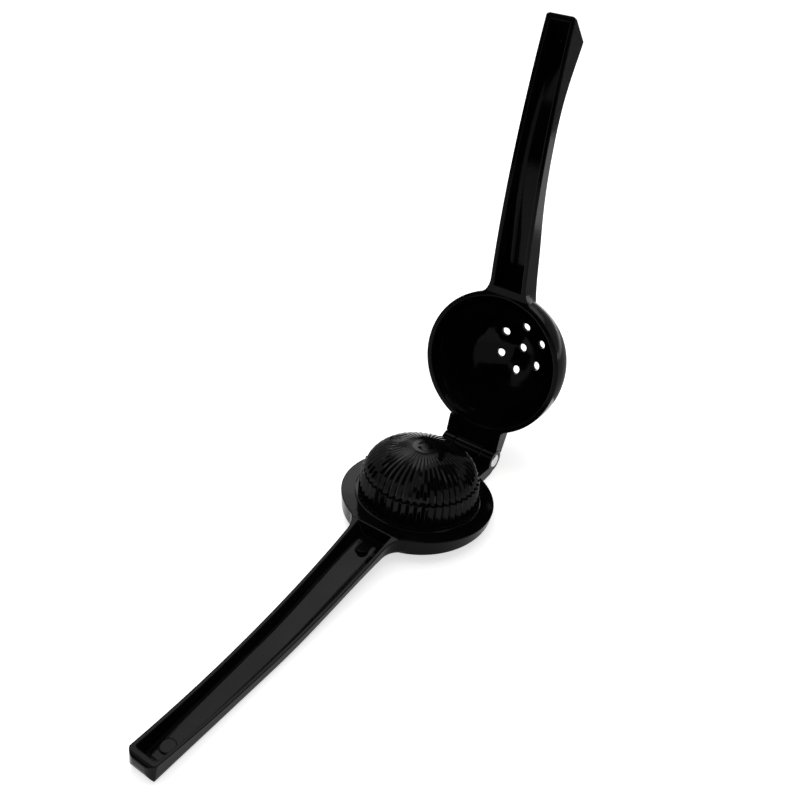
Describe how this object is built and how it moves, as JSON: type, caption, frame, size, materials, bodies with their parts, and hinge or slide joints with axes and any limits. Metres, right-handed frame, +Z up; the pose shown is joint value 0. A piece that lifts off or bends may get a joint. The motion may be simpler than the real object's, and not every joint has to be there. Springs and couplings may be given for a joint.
{
  "type": "lemon squeezer",
  "caption": "Hinged hand press for citrus: a fluted press cup on one channelled lever closes into a perforated bowl on the other, joined by a plain pin.",
  "frame": {"origin": "on the table under the squeezer lying open, midway along its length, on its middle plane", "axes": "+Z up from the table, +X from the tip of the press handle towards the hinge, +Y along the hinge pin"},
  "size_m": [0.2616, 0.07, 0.2043],
  "materials": {
    "black_enamel": "gloss",
    "pin_steel": "turned"
  },
  "bodies": {
    "press": {"press_lever": "black_enamel", "press_cup": "black_enamel", "hinge_pin": "pin_steel"},
    "bowl": {"bowl_lever": "black_enamel"}
  },
  "joints": [
    {"name": "lever_hinge", "type": "hinge", "parent": "press", "child": "bowl", "pos_m": [0.08281, 0, 0.0065], "axis": [0, 1, 0], "range_deg": [-97, 0]}
  ]
}
